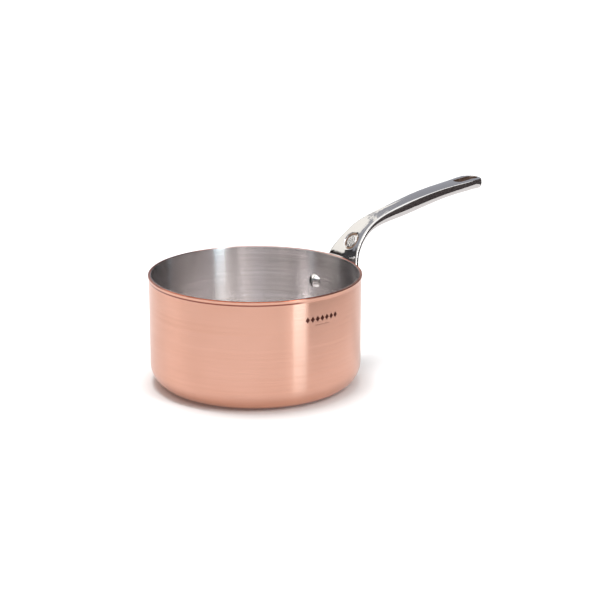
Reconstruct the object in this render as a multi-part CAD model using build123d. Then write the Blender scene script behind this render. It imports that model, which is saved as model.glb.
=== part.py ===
"""A straight-sided 18 cm copper saucepan: a copper body with a bonded stainless lining and a cast
stainless handle held by three rivets.

Millimetres. The origin is the centre of the flat base, +Z is up and the handle points along +X.
Left and right are those of someone who looks out along the handle, so left is +Y.
"""

from build123d import *
from math import acos, atan2, cos, hypot, radians, sin, sqrt
import os

# Pan
INNER_RADIUS = 90.0  # the nominal 18 cm is the inside diameter
STEEL = 0.2  # stainless lining
COPPER = 1.8
HEIGHT = 97.5
CORNER_RADIUS = 19.0  # outside, between wall and base
FLARE_HEIGHT = 3.0  # the top of the wall leans out over this height
FLARE = 0.7
LIP_DROP = 0.64  # height of the rounding on the lip's outer edge

OUTER_RADIUS = INNER_RADIUS + STEEL + COPPER

# Flange: the part of the handle that lies against the wall
FLANGE = 4.6  # thickness at its middle
CROWN_RADIUS = 69.0  # of its outer face, so that it is thin at its ears
FLANGE_TOP = 99.0
NECK_HALF_WIDTH = 21.5  # where the flange runs out at the rim
EAR_RADIUS = 10.5
LOBE_RADIUS = 11.5
NECK_LEAN = 25.0  # how far the neck's edge leans from upright where it leaves the flange, degrees
LIP_CLEARANCE = 0.1
LID_ROOM = 10.0  # above the rim, where the handle stays outside the lip

# Rivets
RIVET_ANGLE = 21.3  # the upper two, each side of the handle
RIVET_HEIGHT = 69.4
LOWER_RIVET_HEIGHT = 47.5
SHANK_RADIUS = 3.0
HEAD_RADIUS = 6.6  # the domed head inside the pan
HEAD_RISE = 3.0
PEENED_RADIUS = 5.2  # the flattened end on the flange
PEENED_RISE = 0.4

# Handle arm: stations along the middle of its top face, each with its section. Drops are measured
# down from the top face's middle, so a negative one is an edge that stands above the middle.
# reach, height, half width, thickness, half width of the top face, drop of its edge, drop of the side
ARM = (
    (92.8, 90.0, 26.7, 4.9, 25.7, -3.7, -2.7),
    (93.6, 98.9, 21.9, 5.0, 20.9, -2.4, -1.4),
    (101.0, 112.2, 15.8, 5.7, 14.5, -1.4, -0.3),
    (112.2, 124.1, 12.3, 7.2, 10.8, -0.5, 1.1),
    (128.6, 132.8, 9.9, 9.8, 8.1, 0.1, 2.9),
    (148.1, 139.4, 9.6, 12.3, 7.1, 0.7, 5.0),
    (173.6, 146.1, 10.2, 12.9, 8.3, 1.0, 5.7),
    (204.3, 151.4, 10.6, 11.5, 8.8, 1.0, 5.1),
    (219.5, 152.9, 11.3, 11.0, 9.9, 0.6, 4.0),
)
ROOT = (92.3, 60.0, 26.0, 1.5, 25.0, -3.4, -2.8)  # where the arm starts, inside the flange
TIP_REACH = 244.6
TIP_HEIGHT = 154.4
TIP_RADIUS = 11.8  # half width of the round end, seen from above
TIP_THICKNESS = 11.0
TIP_ROUND = 2.4  # the edge of the round end
TIP_TOP = (10.4, 0.4, 3.0)  # half width of the top face, drop of its edge, drop of the side
TIP_SWEEP = 84.0  # degrees of the half circle before the end is closed flat
TIP_STEPS = 7

# Hanging eye
EYE_REACH = 228.8
EYE_LENGTH = 24.6
EYE_WIDTH = 9.8

# Round badge recess on the top face
BADGE_STATION = 2  # of ARM
BADGE_DISC = 5.6
BADGE_RADIUS = 8.8
BADGE_DEPTH = 0.9


def at(reach, height):
    return (reach, 0.0, height)


def wall_line(radius, corner_radius, base, top):
    """Edges from the axis, along the base, round the corner and up the wall to the flared top."""
    corner_end = base + corner_radius
    flare_start = HEIGHT - FLARE_HEIGHT
    return [
        Line(at(0, base), at(radius - corner_radius, base)),
        TangentArc(at(radius - corner_radius, base), at(radius, corner_end), tangent=(1, 0, 0)),
        Line(at(radius, corner_end), at(radius, flare_start)),
        TangentArc(at(radius, flare_start), at(radius + FLARE, top), tangent=(0, 0, 1)),
    ]


def shell(inner_line, outer_line, top_edges):
    """Revolves the space between two wall lines, closed by the edges across the rim."""
    axis_edge = Line(inner_line[0] @ 0, outer_line[0] @ 0)
    return revolve(make_face(inner_line + outer_line + top_edges + [axis_edge]), Axis.Z, 360)


def steel_lining():
    inner = wall_line(INNER_RADIUS, CORNER_RADIUS - STEEL - COPPER, STEEL + COPPER, HEIGHT)
    outer = wall_line(INNER_RADIUS + STEEL, CORNER_RADIUS - COPPER, COPPER, HEIGHT)
    rim = [Line(inner[-1] @ 1, outer[-1] @ 1)]
    return shell(inner, outer, rim) - rivet_shanks()


def copper_body():
    inner = wall_line(INNER_RADIUS + STEEL, CORNER_RADIUS - COPPER, COPPER, HEIGHT)
    outer = wall_line(OUTER_RADIUS, CORNER_RADIUS, 0.0, HEIGHT - LIP_DROP)
    lip_side, lean = outer[-1] @ 1, outer[-1] % 1
    lip_top = at(lip_side.X - LIP_DROP * lean.Z / (1 + lean.X), HEIGHT)
    rim = [TangentArc(lip_side, lip_top, tangent=lean), Line(lip_top, inner[-1] @ 1)]
    return shell(inner, outer, rim) - rivet_shanks()


def round_stock(radius, low, high):
    """A solid round bar about the pan's axis, with its seam on the side away from the handle."""
    bar = Cylinder(radius, high - low, align=(Align.CENTER, Align.CENTER, Align.MIN))
    return Pos(0, 0, low) * Rot(0, 0, 180) * bar


def crowned_stock(rise):
    """A solid bar whose side stands the rise above the flange's outer face."""
    axis = OUTER_RADIUS + FLANGE - CROWN_RADIUS
    return Pos(axis, 0, 0) * round_stock(CROWN_RADIUS + rise, 0, 2 * HEIGHT)


def body_envelope():
    """What the handle keeps clear of: the pan's outside, its lip, and a lid's edge on the lip."""
    wall = round_stock(OUTER_RADIUS, 0, HEIGHT)
    lip_radius = OUTER_RADIUS + FLARE + LIP_CLEARANCE
    return wall + round_stock(lip_radius, HEIGHT - FLARE_HEIGHT, HEIGHT + LID_ROOM)


def rivet_axis(angle, height):
    """A plane at the pan's axis whose Z points out along the rivet."""
    outward = (cos(radians(angle)), sin(radians(angle)), 0)
    return Plane(origin=(0, 0, height), x_dir=(0, 0, 1), z_dir=outward)


RIVETS = {
    "rivet_left": (RIVET_ANGLE, RIVET_HEIGHT),
    "rivet_right": (-RIVET_ANGLE, RIVET_HEIGHT),
    "rivet_lower": (0.0, LOWER_RIVET_HEIGHT),
}


def shank(angle, height, radius):
    """A bar along the rivet's axis, longer than the wall and flange are thick."""
    length = OUTER_RADIUS + FLANGE + 2 - (INNER_RADIUS - 2)
    stock = Cylinder(radius, length, align=(Align.CENTER, Align.CENTER, Align.MIN))
    return rivet_axis(angle, height) * Pos(0, 0, INNER_RADIUS - 2) * stock


def rivet_shanks():
    return [shank(angle, height, SHANK_RADIUS) for angle, height in RIVETS.values()]


def dome():
    """A domed head on the plane z = 0, with a plain edge that reaches 1 mm below it."""
    sphere_radius = (HEAD_RADIUS**2 + HEAD_RISE**2) / (2 * HEAD_RISE)
    ball = Pos(0, 0, HEAD_RISE - sphere_radius) * Sphere(sphere_radius)
    blank = Pos(0, 0, -1) * Cylinder(
        HEAD_RADIUS, HEAD_RISE + 1, align=(Align.CENTER, Align.CENTER, Align.MIN)
    )
    return ball & blank


def rivet(angle, height):
    inside_of_pan = round_stock(INNER_RADIUS, 0, HEIGHT)
    head = rivet_axis(angle, height) * Pos(0, 0, INNER_RADIUS) * Rot(180, 0, 0) * dome()
    core = (shank(angle, height, SHANK_RADIUS) & crowned_stock(0)) - inside_of_pan
    peened_end = shank(angle, height, PEENED_RADIUS) & crowned_stock(PEENED_RISE)
    return core + (head & inside_of_pan) + (peened_end - crowned_stock(0))


def neck_edge(ear_offset):
    """One concave arc from the top of the neck, tangent to the ear: its points and its radius."""
    lean = radians(NECK_LEAN)
    outward = (cos(lean), sin(lean))
    from_ear = (NECK_HALF_WIDTH - ear_offset, FLANGE_TOP - RIVET_HEIGHT)
    along = from_ear[0] * outward[0] + from_ear[1] * outward[1]
    radius = (hypot(*from_ear) ** 2 - EAR_RADIUS**2) / (2 * (EAR_RADIUS - along))
    centre = (NECK_HALF_WIDTH + radius * outward[0], FLANGE_TOP + radius * outward[1])
    share = EAR_RADIUS / (EAR_RADIUS + radius)
    meets_ear = (
        ear_offset + share * (centre[0] - ear_offset),
        RIVET_HEIGHT + share * (centre[1] - RIVET_HEIGHT),
    )
    return (NECK_HALF_WIDTH, FLANGE_TOP), meets_ear, radius


def mirrored(point):
    return (-point[0], point[1])


def tangent_line(ear_offset):
    """The line that touches an ear and the lobe from outside: its two ends."""
    across, up = ear_offset, RIVET_HEIGHT - LOWER_RIVET_HEIGHT
    turn = atan2(up, across) - acos((LOBE_RADIUS - EAR_RADIUS) / hypot(across, up))
    normal = (cos(turn), sin(turn))
    ear_end = (ear_offset + EAR_RADIUS * normal[0], RIVET_HEIGHT + EAR_RADIUS * normal[1])
    lobe_end = (LOBE_RADIUS * normal[0], LOWER_RIVET_HEIGHT + LOBE_RADIUS * normal[1])
    return ear_end, lobe_end


def flange_outline():
    """Seen along the handle: a neck, two ears round the upper rivets and a lobe round the lower one."""
    ear_offset = OUTER_RADIUS * sin(radians(RIVET_ANGLE))
    top, meets_ear, radius = neck_edge(ear_offset)
    ear_end, lobe_end = tangent_line(ear_offset)
    ear_side = (ear_offset + EAR_RADIUS, RIVET_HEIGHT)
    lobe_bottom = (0, LOWER_RIVET_HEIGHT - LOBE_RADIUS)
    edges = [
        RadiusArc(top, meets_ear, -radius),
        ThreePointArc(meets_ear, ear_side, ear_end),
        Line(ear_end, lobe_end),
        ThreePointArc(lobe_end, lobe_bottom, mirrored(lobe_end)),
        Line(mirrored(lobe_end), mirrored(ear_end)),
        ThreePointArc(mirrored(ear_end), mirrored(ear_side), mirrored(meets_ear)),
        RadiusArc(mirrored(meets_ear), mirrored(top), -radius),
        Line(mirrored(top), top),
    ]
    return make_face(edges)


def flange():
    facing_out = Plane(origin=(0, 0, 0), x_dir=(0, 1, 0), z_dir=(1, 0, 0))
    blank = extrude(facing_out * flange_outline(), amount=OUTER_RADIUS + 3 * FLANGE, dir=(1, 0, 0))
    plate = blank & crowned_stock(0)
    return plate - round_stock(OUTER_RADIUS, 0, 2 * HEIGHT) - rivet_shanks()


def tip_stations():
    """Stations that close the round end: a half circle from above, with a rounded edge."""
    stations = []
    top_half, edge_drop, side_drop = TIP_TOP
    for step in range(TIP_STEPS + 1):
        turn = radians(step * TIP_SWEEP / TIP_STEPS)
        short_of_tip = TIP_RADIUS * (1 - sin(turn))
        into_round = max(0.0, TIP_ROUND - short_of_tip)
        drop = TIP_ROUND - sqrt(TIP_ROUND**2 - into_round**2)
        size = 1 - 2 * drop / TIP_THICKNESS
        stations.append(
            (
                TIP_REACH - short_of_tip,
                TIP_HEIGHT - drop,
                TIP_RADIUS * cos(turn),
                TIP_THICKNESS * size,
                top_half * cos(turn),
                edge_drop * size,
                side_drop * size,
            )
        )
    return stations


def direction(before, after):
    """The unit direction from one station to another, as run and climb."""
    run, climb = after[0] - before[0], after[1] - before[1]
    return run / hypot(run, climb), climb / hypot(run, climb)


def arm_directions():
    """The arm's direction at each station of ARM, from the stations each side of it."""
    line = (ARM[0],) + ARM + (tip_stations()[0],)
    return [direction(line[i], line[i + 2]) for i in range(len(ARM))]


def arm_section(station, heading):
    reach, height, half_width, thickness, top_half, edge_drop, side_drop = station
    run, climb = heading

    def point(side, drop):
        return Vector(reach + drop * climb, side, height - drop * run)

    below = thickness - side_drop

    def half(side):
        edge, flank = point(side * top_half, edge_drop), point(side * half_width, side_drop)
        lean = point(
            side * (top_half + 0.72 * (half_width - top_half)),
            edge_drop + 0.28 * (side_drop - edge_drop),
        )
        shoulder = Bezier(edge, lean, flank)
        belly = Bezier(
            flank,
            point(side * half_width, side_drop + 0.62 * below),
            point(side * 0.62 * half_width, thickness),
            point(0, thickness),
        )
        return shoulder, belly

    top = ThreePointArc(point(-top_half, edge_drop), point(0, 0), point(top_half, edge_drop))
    left_shoulder, left_belly = half(1)
    right_shoulder, right_belly = half(-1)
    return Wire([top, left_shoulder, left_belly, right_belly, right_shoulder])


def arm():
    """The arm up to the middle of its round end, its root below that and its round end."""
    ending = tip_stations()
    flat = direction(ARM[-1], ending[0])
    tip = [arm_section(station, flat) for station in ending]
    sections = [arm_section(s, d) for s, d in zip(ARM, arm_directions())]
    root = Solid.make_loft([arm_section(ROOT, (0, 1)), sections[0]], True)
    sections.append(arm_section(ending[0], flat))
    return root + Solid.make_loft(sections) + Solid.make_loft(tip)


def top_plane(station, heading):
    """A plane on the arm's top face, X along the arm and Z out of the face."""
    run, climb = heading
    return Plane(origin=at(station[0], station[1]), x_dir=(run, 0, climb), z_dir=(-climb, 0, run))


def eye():
    """The slot through the handle's end, as a solid to cut away."""
    start = tip_stations()[0]
    plane = top_plane(start, direction(ARM[-1], start)) * Pos(EYE_REACH - start[0], 0)
    return extrude(plane * SlotOverall(EYE_LENGTH, EYE_WIDTH), 3 * TIP_THICKNESS, both=True)


def badge():
    """A ring groove round a plain disc, as a solid to cut away."""
    plane = top_plane(ARM[BADGE_STATION], arm_directions()[BADGE_STATION])
    ring = Circle(BADGE_RADIUS) - Circle(BADGE_DISC)
    return plane * Pos(0, 0, -BADGE_DEPTH) * extrude(ring, 5)


def handle():
    pierced_arm = arm() - eye() - badge()
    return pierced_arm + flange() - body_envelope()


def build():
    nodes = {
        "copper_body": copper_body(),
        "steel_lining": steel_lining(),
        "handle": handle(),
    }
    for name, place in RIVETS.items():
        nodes[name] = rivet(*place)
    return nodes


os.makedirs("parts", exist_ok=True)
for name, shape in build().items():
    export_step(shape, f"parts/{name}.step")
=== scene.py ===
"""Looks for the copper saucepan: its materials, light and camera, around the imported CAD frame."""

from math import cos, pi, radians, sin, sqrt

import bmesh
import bpy
from mathutils import Matrix, Vector


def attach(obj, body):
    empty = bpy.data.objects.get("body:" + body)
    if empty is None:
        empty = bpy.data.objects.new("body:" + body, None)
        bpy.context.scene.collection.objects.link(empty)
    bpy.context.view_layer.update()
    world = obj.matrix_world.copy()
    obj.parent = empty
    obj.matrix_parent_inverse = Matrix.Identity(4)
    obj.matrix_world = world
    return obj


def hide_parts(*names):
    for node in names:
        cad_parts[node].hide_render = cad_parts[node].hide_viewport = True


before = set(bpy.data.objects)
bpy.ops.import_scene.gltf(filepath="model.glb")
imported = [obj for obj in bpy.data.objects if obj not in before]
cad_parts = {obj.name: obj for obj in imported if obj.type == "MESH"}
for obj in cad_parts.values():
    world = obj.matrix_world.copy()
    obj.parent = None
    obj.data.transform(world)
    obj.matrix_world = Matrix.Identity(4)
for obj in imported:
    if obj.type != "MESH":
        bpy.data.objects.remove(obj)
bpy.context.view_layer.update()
MM = 0.001

# The pan's section, in millimetres, as in the CAD
INNER_RADIUS = 90.0
STEEL = 0.2
COPPER = 1.8
MIDDLE_RADIUS = INNER_RADIUS + STEEL
OUTER_RADIUS = MIDDLE_RADIUS + COPPER
HEIGHT = 97.5
CORNER_RADIUS = 19.0
FLARE_HEIGHT = 3.0
FLARE_FOOT = HEIGHT - FLARE_HEIGHT
FLARE = 0.7
INNER_FLARE = 0.08
LIP_ROUND = 0.62
FLANGE_TOP = 99.0

# How finely turned pieces are cut
AROUND = 288
CORNER_STEPS = 24
FLARE_STEPS = 8
LIP_STEPS = 6

# Voxels of the remeshed pieces, in millimetres
HANDLE_VOXEL = 0.45
RIVET_VOXEL = 0.2

# The badge on the neck's face: its middle and the face's direction there, as run and climb
BADGE_CENTRE = (101.0, 0.0, 112.2)
BADGE_RUN = (0.594, 0.804)
BADGE_DEPTH = 2.5
BADGE_DISC = 4.6
BADGE_RING = (6.0, 8.3)
BADGE_PETALS = 8.0
BADGE_RIPPLE = 1.9

# The slot through the handle's end: its middle, half its width and half its straight length
EYE_REACH = 228.8
EYE_HALF = 4.9
EYE_STRAIGHT = 7.4

# The printed row on the wall: its direction, its height, and its lozenges' spacing and size
MARK_AZIMUTH = -84.5
MARK_HEIGHT = 78.4
MARK_PITCH = 4.9
LOZENGE_WIDTH = 2.1
LOZENGE_HEIGHT = 2.6
ROW_REACH = (17.0, 17.2)
LINE_HEIGHTS = (73.0, 73.4)
LINE_REACH = (7.0, 7.4)

# Colours of the copper, light and dark in its brushing and then by place: painted reflection and
# shade of the floor low down, a dark lip, a painted dark reflection under the turned edge, and ink
COPPER_DARK = (0.71, 0.395, 0.292)
COPPER_LIGHT = (0.78, 0.455, 0.352)
# Painted reflection and shade of the floor: redder low on the wall, darker on the lowest
# millimetres and the base
PAINTED_LOW_REFLECTION = (0.90, 0.42, 0.27)
PAINTED_BASE_SHADE = (0.36, 0.11, 0.055)
COPPER_LIP = (0.48, 0.17, 0.105)
# Painted dark reflection under the turned edge, strongest towards this compass direction
PAINTED_EDGE_REFLECTION = (0.17, 0.035, 0.03)
EDGE_REFLECTION_AZIMUTH = -160
INK = (0.13, 0.045, 0.035)

# Colours of the steels, of the painted shade in the badge's ring groove, and of the slot's browner
# walls
STEEL_DARK = (0.73, 0.69, 0.685)
STEEL_LIGHT = (0.86, 0.83, 0.825)
CAST_STEEL = (0.58, 0.57, 0.565)
RIVET_STEEL = (0.76, 0.75, 0.74)
# Painted shade in the ring groove round the badge
RING_GROOVE_SHADE = (0.17, 0.11, 0.08)
EYE_WALL_BROWN = (0.27, 0.2, 0.16)

# The camera, in metres and degrees
CAMERA_PLACE = (-0.75567, -1.22833, 0.49261)
CAMERA_HEADING = 56.857
CAMERA_DIP = 16.2372
CAMERA_ROLL = 0.1093
CAMERA_LENS = 103.612
CAMERA_SENSOR = 36.0

# The strip lights: their direction, distance and width
STRIP_AZIMUTH = -77.5
STRIP_DISTANCE = 0.65
STRIP_WIDTH = 0.155

# What polished metal sees in each part of the studio
ROOM = (0.02, 0.017, 0.016)
CAMERA_SIDE = (1.6, 1.57, 1.6)
BLUE_GREY = (0.45, 0.46, 0.51)
CREAM = (1.5, 1.46, 1.38)
DARK = (0.07, 0.07, 0.075)
OVERHEAD = (1.7, 1.7, 1.7)

# Planes that cut two of the cream cards: the direction each one faces
LEFT_CARD_CUT = (-0.3133, -0.5114, 0.8002)
RIGHT_CARD_CUT = (-0.585, 0.56, -0.586)


# ---------------------------------------------------------------- geometry

def mesh_object(name, bm):
    mesh = bpy.data.meshes.new(name)
    bm.to_mesh(mesh)
    bm.free()
    obj = bpy.data.objects.new(name, mesh)
    bpy.context.scene.collection.objects.link(obj)
    return obj


def shade_smooth(obj):
    for polygon in obj.data.polygons:
        polygon.use_smooth = True


def arc(centre, radius, start, end, steps):
    """Points of an arc in (radius, height), angles in degrees."""
    points = []
    for step in range(steps + 1):
        turn = radians(start + (end - start) * step / steps)
        points.append((centre[0] + radius * cos(turn), centre[1] + radius * sin(turn)))
    return points


def flare(radius):
    """The lining's top leaning out: an arc that leaves the upright wall tangentially."""
    bend = (FLARE_HEIGHT**2 + INNER_FLARE**2) / (2 * INNER_FLARE)
    points = []
    for step in range(FLARE_STEPS + 1):
        up = FLARE_HEIGHT * step / FLARE_STEPS
        points.append((radius + bend - sqrt(bend**2 - up**2), FLARE_FOOT + up))
    return points


def turned_edge(radius, top):
    """The outside of the rim: a small step where the edge was turned out, then a plain band."""
    crease = FLARE_FOOT - 0.6
    return [
        (radius, crease - 0.5),
        (radius, crease),
        (radius + 0.08, crease + 0.15),
        (radius + 0.34, crease + 0.75),
        (radius + 0.40, crease + 0.95),
        (radius + 0.52, top - 0.8),
        (radius + FLARE, top),
    ]


def wall(radius, corner, base, edge):
    """Points from the axis along the base, round the corner, up the wall and along its edge."""
    points = [(radius * share, base) for share in (0.0, 0.2, 0.4, 0.6, 0.7)]
    points += arc((radius - corner, base + corner), corner, -90, 0, CORNER_STEPS)
    points += [(radius, height) for height in range(30, 94, 8)]
    return points + edge


def turned(name, profile):
    """A closed turned solid whose profile starts and ends on the pan's axis."""
    bm = bmesh.new()
    rings = []
    for radius, height in profile:
        if radius < 1e-9:
            rings.append([bm.verts.new((0, 0, height * MM))])
            continue
        ring = []
        for step in range(AROUND):
            turn = 2 * pi * step / AROUND
            place = (radius * cos(turn) * MM, radius * sin(turn) * MM, height * MM)
            ring.append(bm.verts.new(place))
        rings.append(ring)
    for low, high in zip(rings, rings[1:]):
        for step in range(AROUND):
            after = (step + 1) % AROUND
            if len(low) == 1:
                bm.faces.new((low[0], high[after], high[step]))
            elif len(high) == 1:
                bm.faces.new((low[step], low[after], high[0]))
            else:
                bm.faces.new((low[step], low[after], high[after], high[step]))
    bmesh.ops.recalc_face_normals(bm, faces=bm.faces)
    obj = mesh_object(name, bm)
    shade_smooth(obj)
    return obj


def bonded_face():
    """The section where the lining meets the copper, the same in both pieces."""
    return wall(MIDDLE_RADIUS, CORNER_RADIUS - COPPER, COPPER, flare(MIDDLE_RADIUS))


def copper_shell():
    edge = turned_edge(OUTER_RADIUS, HEIGHT - LIP_ROUND)
    outside = wall(OUTER_RADIUS, CORNER_RADIUS, 0.0, edge)
    side = outside[-1][0]
    lip = arc((side - LIP_ROUND, HEIGHT - LIP_ROUND), LIP_ROUND, 0, 90, LIP_STEPS)[1:]
    return turned("copper_shell", outside + lip + bonded_face()[::-1])


def lining_shell():
    corner = CORNER_RADIUS - STEEL - COPPER
    inside = wall(INNER_RADIUS, corner, STEEL + COPPER, flare(INNER_RADIUS))
    return turned("lining_shell", bonded_face() + inside[::-1])


def settle(obj):
    """Applies an object's modifiers."""
    bpy.context.view_layer.update()
    depsgraph = bpy.context.evaluated_depsgraph_get()
    mesh = bpy.data.meshes.new_from_object(obj.evaluated_get(depsgraph))
    obj.modifiers.clear()
    obj.vertex_groups.clear()
    obj.data = mesh


def ease(obj, iterations, weigh=None):
    """Smooths a mesh, wholly or where weigh(x, y, z) in millimetres is above nothing."""
    modifier = obj.modifiers.new("ease", "SMOOTH")
    modifier.factor = 0.5
    modifier.iterations = iterations
    if weigh is not None:
        group = obj.vertex_groups.new(name="eased")
        for vertex in obj.data.vertices:
            weight = weigh(*(vertex.co / MM))
            if weight > 0:
                group.add([vertex.index], min(weight, 1.0), "REPLACE")
        modifier.vertex_group = "eased"
    settle(obj)


def run_to_rim(mesh):
    """Draws the neck's inner face down to the height of the rim, steeper as it gets there."""
    drop = FLANGE_TOP - HEIGHT + 1.3
    inner_radius, inner_fade = 97.5, 2
    above_fade = 6.5
    below_start, below_fade = 88, 6
    for vertex in mesh.vertices:
        x, y, z = vertex.co / MM
        inner = min(max((inner_radius - sqrt(x * x + y * y)) / inner_fade, 0.0), 1.0)
        if z > FLANGE_TOP:
            share = max((FLANGE_TOP + above_fade - z) / above_fade, 0.0) ** 2
        else:
            share = min(max((z - below_start) / below_fade, 0.0), 1.0)
        vertex.co.z -= drop * inner * share * MM


def arm_root(x, y, z):
    """Above nothing where the arm runs into the flange, on its outer side."""
    low, high, fade = 58, 108, 8
    clear_radius, clear_fade = 94.5, 1.5
    outside = (sqrt(x * x + y * y) - clear_radius) / clear_fade
    return min((z - low) / fade, (high - z) / fade, outside)


def remeshed(node, name, voxel):
    """A copy of a CAD piece in an even, fine mesh."""
    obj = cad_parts[node].copy()
    obj.data = obj.data.copy()
    obj.name = name
    obj.parent = None
    bpy.context.scene.collection.objects.link(obj)
    remesh = obj.modifiers.new("remesh", "REMESH")
    remesh.mode = "VOXEL"
    remesh.voxel_size = voxel * MM
    settle(obj)
    return obj


def domed_rivet(node):
    """The CAD rivet with its dome and its peened end made smooth."""
    obj = remeshed(node, "domed_" + node, RIVET_VOXEL)
    ease(obj, 6)
    shade_smooth(obj)
    return obj


def cast_handle():
    """The CAD handle with its edges eased, as a casting polished by hand."""
    obj = remeshed("handle", "cast_handle", HANDLE_VOXEL)
    run_to_rim(obj.data)
    ease(obj, 40, arm_root)
    ease(obj, 5)
    shade_smooth(obj)
    return obj


# ---------------------------------------------------------------- nodes

class Nodes:
    """A node tree, with short calls to add and join nodes."""

    def __init__(self, tree):
        self.tree = tree
        self.tree.nodes.clear()

    def add(self, kind, **settings):
        node = self.tree.nodes.new(kind)
        for key, value in settings.items():
            setattr(node, key, value)
        return node

    def join(self, source, target):
        self.tree.links.new(source, target)

    def feed(self, socket, value):
        if isinstance(value, bpy.types.NodeSocket):
            self.join(value, socket)
        else:
            socket.default_value = value

    def math(self, operation, *values):
        node = self.add("ShaderNodeMath", operation=operation)
        for socket, value in zip(node.inputs, values):
            self.feed(socket, value)
        return node.outputs[0]

    def plus(self, first, second):
        return self.math("ADD", first, second)

    def minus(self, first, second):
        return self.math("SUBTRACT", first, second)

    def times(self, first, second):
        return self.math("MULTIPLY", first, second)

    def size(self, value):
        return self.math("ABSOLUTE", value)

    def hypotenuse(self, first, second):
        squares = self.plus(self.times(first, first), self.times(second, second))
        return self.math("SQRT", squares)

    def ramp(self, value, low, high, from_value=0.0, to_value=1.0):
        """Maps low..high smoothly to from_value..to_value, held at both ends."""
        node = self.add("ShaderNodeMapRange", clamp=True, interpolation_type="SMOOTHSTEP")
        for socket, number in zip(node.inputs, (value, low, high, from_value, to_value)):
            self.feed(socket, number)
        return node.outputs[0]

    def fall(self, value, low, high):
        """One up to low, nothing from high."""
        return self.ramp(value, low, high, 1.0, 0.0)

    def band(self, value, low, high, soft):
        """One between two values, fading over soft at both."""
        above = self.ramp(value, low - soft, low + soft)
        return self.times(above, self.fall(value, high - soft, high + soft))

    def mix(self, share, first, second):
        """Mixes two colours; either can be a plain (red, green, blue)."""
        node = self.add("ShaderNodeMix", data_type="RGBA")
        self.feed(node.inputs[0], share)
        for socket, colour in ((node.inputs[6], first), (node.inputs[7], second)):
            self.feed(socket, (*colour, 1) if isinstance(colour, tuple) else colour)
        return node.outputs[2]

    def noise(self, vector, scale, detail):
        node = self.add("ShaderNodeTexNoise")
        self.join(vector, node.inputs["Vector"])
        node.inputs["Scale"].default_value = scale
        node.inputs["Detail"].default_value = detail
        return node.outputs[0]

    def object_position(self):
        return self.add("ShaderNodeTexCoord").outputs["Object"]

    def scaled(self, vector, scale):
        node = self.add("ShaderNodeMapping")
        self.join(vector, node.inputs["Vector"])
        node.inputs["Scale"].default_value = scale
        return node.outputs[0]

    def parts(self, vector):
        node = self.add("ShaderNodeSeparateXYZ")
        self.join(vector, node.inputs[0])
        return node.outputs

    def dot(self, vector, direction):
        node = self.add("ShaderNodeVectorMath", operation="DOT_PRODUCT")
        self.join(vector, node.inputs[0])
        node.inputs[1].default_value = direction
        return node.outputs["Value"]

    def bump(self, height, distance, strength, normal=None):
        node = self.add("ShaderNodeBump")
        node.inputs["Strength"].default_value = strength
        node.inputs["Distance"].default_value = distance
        self.join(height, node.inputs["Height"])
        if normal is not None:
            self.join(normal, node.inputs["Normal"])
        return node.outputs[0]


# ---------------------------------------------------------------- materials

def surface(name, colour, roughness):
    """A material's nodes and its shader, with plain numbers set on the shader."""
    material = bpy.data.materials.new(name)
    material.use_nodes = True
    nodes = Nodes(material.node_tree)
    shader = nodes.add("ShaderNodeBsdfPrincipled")
    output = nodes.add("ShaderNodeOutputMaterial")
    nodes.join(shader.outputs[0], output.inputs["Surface"])
    shader.inputs["Base Color"].default_value = (*colour, 1)
    shader.inputs["Roughness"].default_value = roughness
    return material, nodes, shader


def metal(name, colour, roughness):
    material, nodes, shader = surface(name, colour, roughness)
    shader.inputs["Metallic"].default_value = 1.0
    return material, nodes, shader


def brushed(name, colour, roughness):
    """Metal brushed round the axis, which draws its highlights out up and down."""
    material, nodes, shader = metal(name, colour, roughness)
    shader.inputs["Anisotropic"].default_value = 1.0
    shader.inputs["Anisotropic Rotation"].default_value = 0.25
    tangent = nodes.add("ShaderNodeTangent", direction_type="RADIAL", axis="Z")
    nodes.join(tangent.outputs[0], shader.inputs["Tangent"])
    return material, nodes, shader


def scratches(n, position, along, across, detail=0.0):
    """Noise drawn out round the axis: its frequencies that way and across, along the section."""
    x, y, z = n.parts(position)
    section = n.plus(n.hypotenuse(x, y), z)
    combine = n.add("ShaderNodeCombineXYZ")
    n.join(n.times(x, along), combine.inputs[0])
    n.join(n.times(y, along), combine.inputs[1])
    n.join(n.times(section, across), combine.inputs[2])
    return n.noise(combine.outputs[0], 1.0, detail)


def brushed_tone(n, lines, hair, lines_share, hair_share):
    """How light the brushing is at a place, from its broader lines and its finest ones."""
    return n.plus(
        n.ramp(lines, 0.3, 0.7, 0.0, lines_share), n.ramp(hair, 0.3, 0.7, 0.0, hair_share)
    )


def makers_row(n, azimuth, z):
    """A plain row of small lozenges over a thin line, printed on the wall."""
    along = n.times(n.minus(azimuth, radians(MARK_AZIMUTH)), OUTER_RADIUS * MM)
    up = n.size(n.minus(z, MARK_HEIGHT * MM))
    place = n.size(n.math("WRAP", along, MARK_PITCH * MM / 2, -MARK_PITCH * MM / 2))
    slant = n.plus(
        n.math("DIVIDE", place, LOZENGE_WIDTH * MM), n.math("DIVIDE", up, LOZENGE_HEIGHT * MM)
    )
    reach = n.size(along)
    lozenges = n.times(
        n.fall(slant, 0.92, 1.08), n.fall(reach, ROW_REACH[0] * MM, ROW_REACH[1] * MM)
    )
    low, high = LINE_HEIGHTS
    line = n.times(
        n.band(z, low * MM, high * MM, 0.1 * MM),
        n.fall(reach, LINE_REACH[0] * MM, LINE_REACH[1] * MM),
    )
    return n.math("MAXIMUM", lozenges, n.times(line, 0.7))


def painted_edge_reflection(n, azimuth, z):
    """A painted dark reflection under the turned edge, strong on one side of the pan and faint on
    the other.
    """
    crease = FLARE_FOOT - 0.1
    line = n.band(z, (crease - 0.75) * MM, (crease + 0.5) * MM, 0.25 * MM)
    turn = n.minus(azimuth, radians(EDGE_REFLECTION_AZIMUTH))
    side = n.ramp(n.math("COSINE", turn), 0.42, 0.5, 0.15, 1.0)
    return n.times(n.times(line, side), 0.9)


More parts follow.
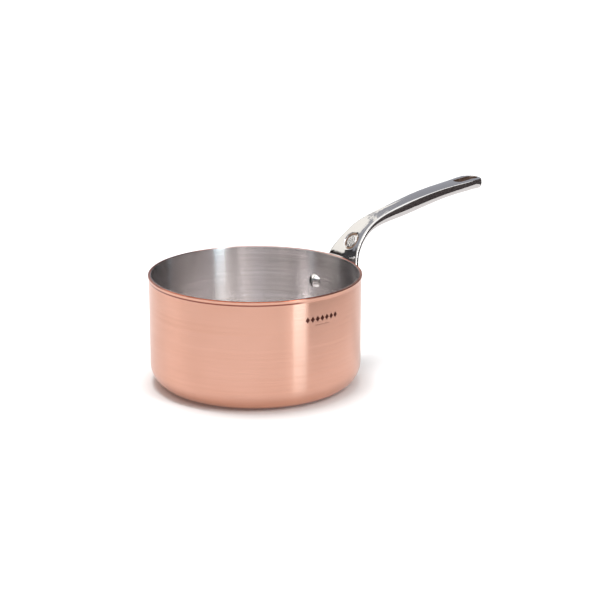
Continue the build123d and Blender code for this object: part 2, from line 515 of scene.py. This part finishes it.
def copper_material():
    """Brushed copper, with painted reflection and shade of the floor making it redder and darker
    towards the base, a dark lip, a painted dark reflection under the turned edge and printed marks.
    """
    material, n, shader = brushed("copper", (0.80, 0.44, 0.33), 0.22)
    position = n.object_position()
    x, y, z = n.parts(position)
    azimuth = n.math("ARCTAN2", y, x)
    hair = scratches(n, position, 3.0, 1000.0)
    lines = scratches(n, position, 1.6, 420.0, 1.0)
    satin = scratches(n, position, 2.0, 120.0, 1.0)
    cloud = n.noise(position, 22.0, 2.0)
    tone = brushed_tone(n, lines, hair, 0.28, 0.32)
    tone = n.plus(tone, n.ramp(cloud, 0.35, 0.7, 0.0, 0.35))
    colour = n.mix(tone, COPPER_DARK, COPPER_LIGHT)
    # Painted reflection and shade of the floor: redder up to 16 mm, darker below 5 mm and over the
    # whole base
    colour = n.mix(n.ramp(z, 2 * MM, 16 * MM, 0.8, 0.0), colour, PAINTED_LOW_REFLECTION)
    colour = n.mix(n.ramp(z, 0.8 * MM, 5 * MM, 0.8, 0.0), colour, PAINTED_BASE_SHADE)
    lip = n.ramp(z, (HEIGHT - 0.75) * MM, (HEIGHT - 0.35) * MM)
    colour = n.mix(lip, colour, COPPER_LIP)
    # Painted dark reflection of the shaded floor under the turned edge
    colour = n.mix(painted_edge_reflection(n, azimuth, z), colour, PAINTED_EDGE_REFLECTION)
    mark = makers_row(n, azimuth, z)
    n.join(n.mix(mark, colour, INK), shader.inputs["Base Color"])
    worn = n.ramp(lines, 0.25, 0.75, 0.21, 0.24)
    n.join(n.plus(worn, n.times(mark, 0.15)), shader.inputs["Roughness"])
    n.join(n.bump(satin, 0.00008, 0.25), shader.inputs["Normal"])
    return material


def lining_material():
    """Satin steel with the fine rings that brushing leaves."""
    material, n, shader = brushed("lining_steel", (0.74, 0.70, 0.69), 0.25)
    position = n.object_position()
    hair = scratches(n, position, 3.0, 1000.0)
    lines = scratches(n, position, 2.5, 420.0, 2.0)
    tone = brushed_tone(n, lines, hair, 0.35, 0.4)
    n.join(n.mix(tone, STEEL_DARK, STEEL_LIGHT), shader.inputs["Base Color"])
    n.join(n.ramp(lines, 0.25, 0.75, 0.24, 0.26), shader.inputs["Roughness"])
    return material


def polished(name, colour):
    """Polished cast steel: slightly wavy, with fine lengthwise marks."""
    material, n, shader = metal(name, colour, 0.1)
    position = n.object_position()
    marks = n.noise(n.scaled(position, (12.0, 700.0, 12.0)), 1.0, 2.0)
    gloss = n.ramp(marks, 0.3, 0.75, 0.06, 0.15)
    n.join(gloss, shader.inputs["Roughness"])
    normal = n.bump(n.noise(position, 90.0, 2.0), 0.0002, 0.3)
    n.join(normal, shader.inputs["Normal"])
    return material, n, shader, position, normal, gloss


def rivet_material():
    return polished("rivet_steel", RIVET_STEEL)[0]


def badge(n, position):
    """The badge's ripples and petals on its disc, and the painted shade in the ring groove round
    it.
    """
    run, climb = BADGE_RUN
    away = n.add("ShaderNodeVectorMath", operation="SUBTRACT")
    n.join(position, away.inputs[0])
    away.inputs[1].default_value = [value * MM for value in BADGE_CENTRE]
    lift = n.dot(away.outputs[0], (-climb, 0, run))
    along = n.dot(away.outputs[0], (run, 0, climb))
    across = n.dot(away.outputs[0], (0, 1, 0))
    reach = n.hypotenuse(along, across)
    near = n.math("LESS_THAN", n.size(lift), BADGE_DEPTH * MM)
    turn = n.math("ARCTAN2", across, along)
    petals = n.math("COSINE", n.times(turn, BADGE_PETALS))
    ripple = n.math("SINE", n.times(reach, 2 * pi / (BADGE_RIPPLE * MM)))
    disc = n.times(near, n.fall(reach, BADGE_DISC * MM, (BADGE_DISC + 0.5) * MM))
    rosette = n.times(disc, n.plus(ripple, n.times(petals, 0.8)))
    inner, outer = BADGE_RING
    ring = n.times(near, n.band(reach, inner * MM, outer * MM, 0.35 * MM))
    gaps = n.ramp(n.size(n.math("SINE", n.plus(turn, 0.5))), 0.12, 0.3, 0.25, 1.0)
    return rosette, n.times(ring, gaps)


def eye_walls(n, position):
    """One on the walls of the slot through the handle's end."""
    x, y, z = n.parts(position)
    beyond = n.minus(n.size(n.minus(x, EYE_REACH * MM)), EYE_STRAIGHT * MM)
    off = n.hypotenuse(n.math("MAXIMUM", beyond, 0.0), y)
    return n.fall(off, (EYE_HALF + 0.1) * MM, (EYE_HALF + 0.6) * MM)


def handle_material():
    """Polished steel with a plain badge and a brownish, duller hanging eye."""
    material, n, shader, position, normal, gloss = polished("cast_steel", CAST_STEEL)
    rosette, groove_shade = badge(n, position)
    eye = eye_walls(n, position)
    # The ring groove round the badge is painted dark as shade
    colour = n.mix(groove_shade, CAST_STEEL, RING_GROOVE_SHADE)
    # The slot's walls are browner and duller
    n.join(n.mix(eye, colour, EYE_WALL_BROWN), shader.inputs["Base Color"])
    n.join(n.plus(gloss, n.times(eye, 0.35)), shader.inputs["Roughness"])
    n.join(n.bump(rosette, 0.00012, 0.8, normal), shader.inputs["Normal"])
    return material


def assign(obj, material):
    obj.data.materials.clear()
    obj.data.materials.append(material)


# ---------------------------------------------------------------- stage

def around(azimuth, distance, height):
    """A place by its compass direction from the pan, degrees from +X, and its height."""
    return (distance * cos(radians(azimuth)), distance * sin(radians(azimuth)), height)


def make_camera():
    data = bpy.data.cameras.new("camera")
    data.sensor_width = CAMERA_SENSOR
    data.lens = CAMERA_LENS
    camera = bpy.data.objects.new("camera", data)
    bpy.context.scene.collection.objects.link(camera)
    heading = Matrix.Rotation(radians(CAMERA_HEADING - 90), 4, "Z")
    tilt = Matrix.Rotation(radians(90 - CAMERA_DIP), 4, "X")
    roll = Matrix.Rotation(radians(CAMERA_ROLL), 4, "Z")
    camera.matrix_world = Matrix.Translation(CAMERA_PLACE) @ heading @ tilt @ roll
    bpy.context.scene.camera = camera


def area_light(name, place, aim, width, height, power, colour=(1, 1, 1)):
    data = bpy.data.lights.new(name, "AREA")
    data.shape = "RECTANGLE"
    data.size = width
    data.size_y = height
    data.energy = power
    data.color = colour
    light = bpy.data.objects.new(name, data)
    bpy.context.scene.collection.objects.link(light)
    light.location = place
    light.rotation_euler = (Vector(place) - Vector(aim)).to_track_quat("Z", "Y").to_euler()
    return light


def strip_light(name, height, length, power, colour=(1, 1, 1)):
    """An upright strip to the pan's right, which makes the bright band on the copper."""
    place = around(STRIP_AZIMUTH, STRIP_DISTANCE, height)
    return area_light(name, place, (0, 0, height), STRIP_WIDTH, length, power, colour)


def make_floor():
    """A pale floor that glows a little, more so far away, and is darker in reflections."""
    radius, sides = 12, 96
    bm = bmesh.new()
    rim = [bm.verts.new(around(360 * step / sides, radius, 0)) for step in range(sides)]
    bm.faces.new(rim)
    floor = mesh_object("floor", bm)
    material, n, shader = surface("floor", (0.9, 0.9, 0.9), 0.9)
    shader.inputs["Specular IOR Level"].default_value = 0.1
    shader.inputs["Emission Color"].default_value = (1, 1, 1, 1)
    away = n.add("ShaderNodeVectorMath", operation="LENGTH")
    n.join(n.object_position(), away.inputs[0])
    distance = away.outputs["Value"]
    glossy = n.add("ShaderNodeLightPath").outputs["Is Glossy Ray"]
    colour = n.mix(glossy, (0.9, 0.9, 0.9), (0.53, 0.5, 0.495))
    n.join(colour, shader.inputs["Base Color"])
    glow = n.ramp(distance, 0.12, 0.9, 0.03, 0.25)
    glow = n.plus(glow, n.ramp(distance, 0.55, 2.0, 0.0, 0.5))
    n.join(n.plus(glow, n.times(glossy, 0.27)), shader.inputs["Emission Strength"])
    assign(floor, material)


def make_flag():
    """A dark curved card on the table beyond the handle, seen only in polished metal."""
    steps, top = 24, 0.75
    bm = bmesh.new()
    posts = []
    for step in range(steps + 1):
        share = step / steps
        x, y, foot = around(-70 + 95 * share, 0.42 + 0.2 * share, 0.001)
        posts.append((bm.verts.new((x, y, foot)), bm.verts.new((x, y, top))))
    for (foot, head), (next_foot, next_head) in zip(posts, posts[1:]):
        bm.faces.new((foot, next_foot, next_head, head))
    flag = mesh_object("flag", bm)
    assign(flag, surface("flag", (0.06, 0.05, 0.05), 0.9)[0])
    flag.visible_camera = False
    flag.visible_diffuse = False
    flag.visible_shadow = False


def make_world():
    """White to the camera, plain to dull surfaces; polished ones see bright and dark cards."""
    world = bpy.data.worlds.new("world")
    bpy.context.scene.world = world
    world.use_nodes = True
    n = Nodes(world.node_tree)
    way = n.add("ShaderNodeTexCoord").outputs["Generated"]
    x, y, z = n.parts(way)
    azimuth = n.math("ARCTAN2", y, x)

    def sector(middle, half, soft):
        """One inside half degrees of a compass direction, fading to nothing over soft degrees."""
        turn = n.math("COSINE", n.minus(azimuth, radians(middle)))
        return n.ramp(turn, cos(radians(half + soft)), cos(radians(max(half - soft, 0))))

    def rise(height, soft):
        """Nothing below a height in degrees, one above it."""
        return n.ramp(z, sin(radians(height - soft)), sin(radians(height + soft)))

    def patch(below, colour, where, low, high, soft=3.0):
        """Lays a colour over what is below it, in a sector and between two heights in degrees."""
        under = n.fall(z, sin(radians(high - soft)), sin(radians(high + soft)))
        share = n.times(where, n.times(rise(low, soft), under))
        return n.mix(share, below, colour)

    left_cut = n.ramp(n.dot(way, LEFT_CARD_CUT), 0.01, 0.026)
    left_card = n.times(sector(114, 46, 1.5), left_cut)
    right_cut = n.ramp(n.dot(way, RIGHT_CARD_CUT), -0.035, -0.005)
    right_card = n.times(sector(70.3, 6.5, 0.8), right_cut)
    studio = patch(ROOM, CAMERA_SIDE, sector(-144, 46, 14), 22, 60, 8)
    studio = patch(studio, BLUE_GREY, sector(75, 35, 4), -20, 60)
    studio = patch(studio, DARK, sector(115, 16, 4), -10, 12, 2)
    studio = patch(studio, CREAM, left_card, 15, 60, 1.5)
    studio = patch(studio, CREAM, right_card, 17, 60, 1.5)
    studio = patch(studio, CREAM, sector(141, 12, 1.5), 7, 16, 1.5)
    studio = patch(studio, DARK, sector(-58, 20, 4), -10, 60)
    studio = n.mix(rise(55, 3), studio, OVERHEAD)
    rays = n.add("ShaderNodeLightPath")
    dome = n.mix(n.ramp(z, 0.45, 0.9), (0.2, 0.195, 0.195), (0.75, 0.74, 0.74))
    dull = n.mix(rays.outputs["Is Camera Ray"], dome, (1, 1, 1))
    background = n.add("ShaderNodeBackground")
    n.join(n.mix(rays.outputs["Is Glossy Ray"], dull, studio), background.inputs["Color"])
    output = n.add("ShaderNodeOutputWorld")
    n.join(background.outputs[0], output.inputs["Surface"])


def make_stage():
    bpy.context.scene.view_settings.view_transform = "Standard"
    make_camera()
    make_floor()
    make_world()
    strip_light("strip", 0.17, 0.34, 0.45, (0.6, 1.0, 1.2))
    strip_light("strip_high", 0.74, 0.8, 3.4)
    key = area_light("key", around(100, 0.12, 1.25), (0, 0, 0.05), 0.55, 0.55, 16)
    key.visible_glossy = False
    make_flag()


# ---------------------------------------------------------------- build

def main():
    make_stage()
    pieces = [
        (copper_shell(), copper_material(), "copper_body", "copper"),
        (lining_shell(), lining_material(), "steel_lining", "lining_steel"),
        (cast_handle(), handle_material(), "handle", "cast_steel"),
    ]
    rivet_steel = rivet_material()
    for node in ("rivet_left", "rivet_right", "rivet_lower"):
        pieces.append((domed_rivet(node), rivet_steel, node, "rivet_steel"))
    for piece, material, node, slot in pieces:
        assign(piece, material)
        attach(piece, "root")
        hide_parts(node)


main()
